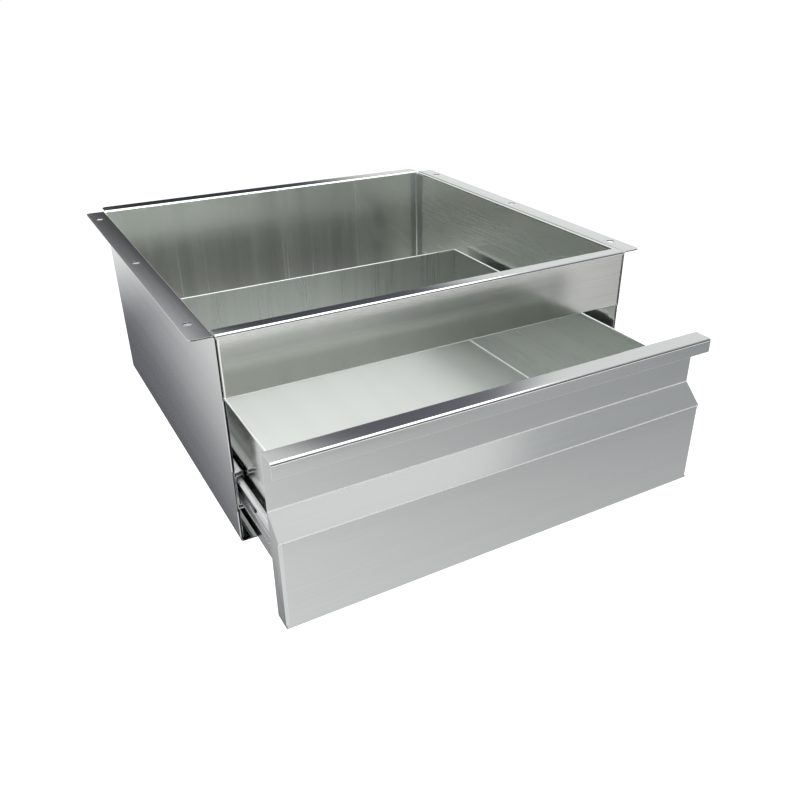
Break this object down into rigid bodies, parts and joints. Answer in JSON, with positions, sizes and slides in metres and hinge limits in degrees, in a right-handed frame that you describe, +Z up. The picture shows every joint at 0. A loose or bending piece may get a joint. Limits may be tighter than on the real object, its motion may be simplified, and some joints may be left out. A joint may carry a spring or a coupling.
{
  "type": "stainless steel drawer",
  "caption": "Under-bench drawer unit: a folded open-topped steel housing with drilled top flanges, and a full-width drawer with a folded grip front on telescopic ball runners.",
  "frame": {"origin": "centre of the flange hole pattern, on the top face of the flanges that the worktop rests on", "axes": "+Z up out of the flanges' top face, +X to the right as the drawer is faced, +Y to the back"},
  "size_m": [0.548, 0.6591, 0.2425],
  "materials": {
    "housing_steel": "brushed stainless",
    "drawer_steel": "brushed stainless",
    "runner_steel": "rolled, fine brushed",
    "cage_steel": "rolled",
    "ball_steel": "polished",
    "fastener_steel": "turned",
    "black_plastic": "moulded, fine texture"
  },
  "bodies": {
    "housing": {"left_side_panel": "housing_steel", "right_side_panel": "housing_steel", "back_panel": "housing_steel", "front_rail": "housing_steel", "left_outer_runner": "runner_steel", "left_outer_studs": "fastener_steel", "left_rear_stop": "black_plastic", "right_outer_runner": "runner_steel", "right_outer_studs": "fastener_steel", "right_rear_stop": "black_plastic"},
    "drawer": {"drawer_tray": "drawer_steel", "tray_front_wall": "drawer_steel", "tray_back_wall": "drawer_steel", "drawer_front": "drawer_steel", "left_inner_runner": "runner_steel", "left_inner_studs": "fastener_steel", "left_inner_nuts": "fastener_steel", "left_lever_rivet": "fastener_steel", "right_inner_runner": "runner_steel", "right_inner_studs": "fastener_steel", "right_inner_nuts": "fastener_steel", "right_lever_rivet": "fastener_steel"},
    "left_mid": {"left_mid_runner": "runner_steel"},
    "left_outer_race": {"left_outer_cage": "cage_steel", "left_outer_balls": "ball_steel"},
    "left_inner_race": {"left_inner_cage": "cage_steel", "left_inner_balls": "ball_steel"},
    "left_lever": {"left_release_lever": "black_plastic"},
    "right_mid": {"right_mid_runner": "runner_steel"},
    "right_outer_race": {"right_outer_cage": "cage_steel", "right_outer_balls": "ball_steel"},
    "right_inner_race": {"right_inner_cage": "cage_steel", "right_inner_balls": "ball_steel"},
    "right_lever": {"right_release_lever": "black_plastic"}
  },
  "joints": [
    {"name": "drawer_slide", "type": "slide", "parent": "housing", "child": "drawer", "axis": [0, -1, 0], "range_m": [-0.116, 0.234]},
    {"name": "left_mid_slide", "type": "slide", "parent": "housing", "child": "left_mid", "axis": [0, -1, 0], "range_m": [-0.058, 0.117]},
    {"name": "left_outer_race_slide", "type": "slide", "parent": "housing", "child": "left_outer_race", "axis": [0, -1, 0], "range_m": [-0.029, 0.0585]},
    {"name": "left_inner_race_slide", "type": "slide", "parent": "housing", "child": "left_inner_race", "axis": [0, -1, 0], "range_m": [-0.087, 0.1755]},
    {"name": "right_mid_slide", "type": "slide", "parent": "housing", "child": "right_mid", "axis": [0, -1, 0], "range_m": [-0.058, 0.117]},
    {"name": "right_outer_race_slide", "type": "slide", "parent": "housing", "child": "right_outer_race", "axis": [0, -1, 0], "range_m": [-0.029, 0.0585]},
    {"name": "right_inner_race_slide", "type": "slide", "parent": "housing", "child": "right_inner_race", "axis": [0, -1, 0], "range_m": [-0.087, 0.1755]},
    {"name": "left_lever_lift", "type": "hinge", "parent": "drawer", "child": "left_lever", "pos_m": [-0.236, -0.226, -0.174], "axis": [-1, 0, 0], "range_deg": [0, 6], "stiffness_Nm_per_rad": 0.05, "springref_deg": -8.59},
    {"name": "right_lever_press", "type": "hinge", "parent": "drawer", "child": "right_lever", "pos_m": [0.236, -0.226, -0.174], "axis": [1, 0, 0], "range_deg": [0, 6], "stiffness_Nm_per_rad": 0.05, "springref_deg": -8.59}
  ],
  "couplings": [
    {"joint": "left_mid_slide", "follows": "drawer_slide", "ratio": 0.5},
    {"joint": "left_outer_race_slide", "follows": "drawer_slide", "ratio": 0.25},
    {"joint": "left_inner_race_slide", "follows": "drawer_slide", "ratio": 0.75},
    {"joint": "right_mid_slide", "follows": "drawer_slide", "ratio": 0.5},
    {"joint": "right_outer_race_slide", "follows": "drawer_slide", "ratio": 0.25},
    {"joint": "right_inner_race_slide", "follows": "drawer_slide", "ratio": 0.75}
  ]
}
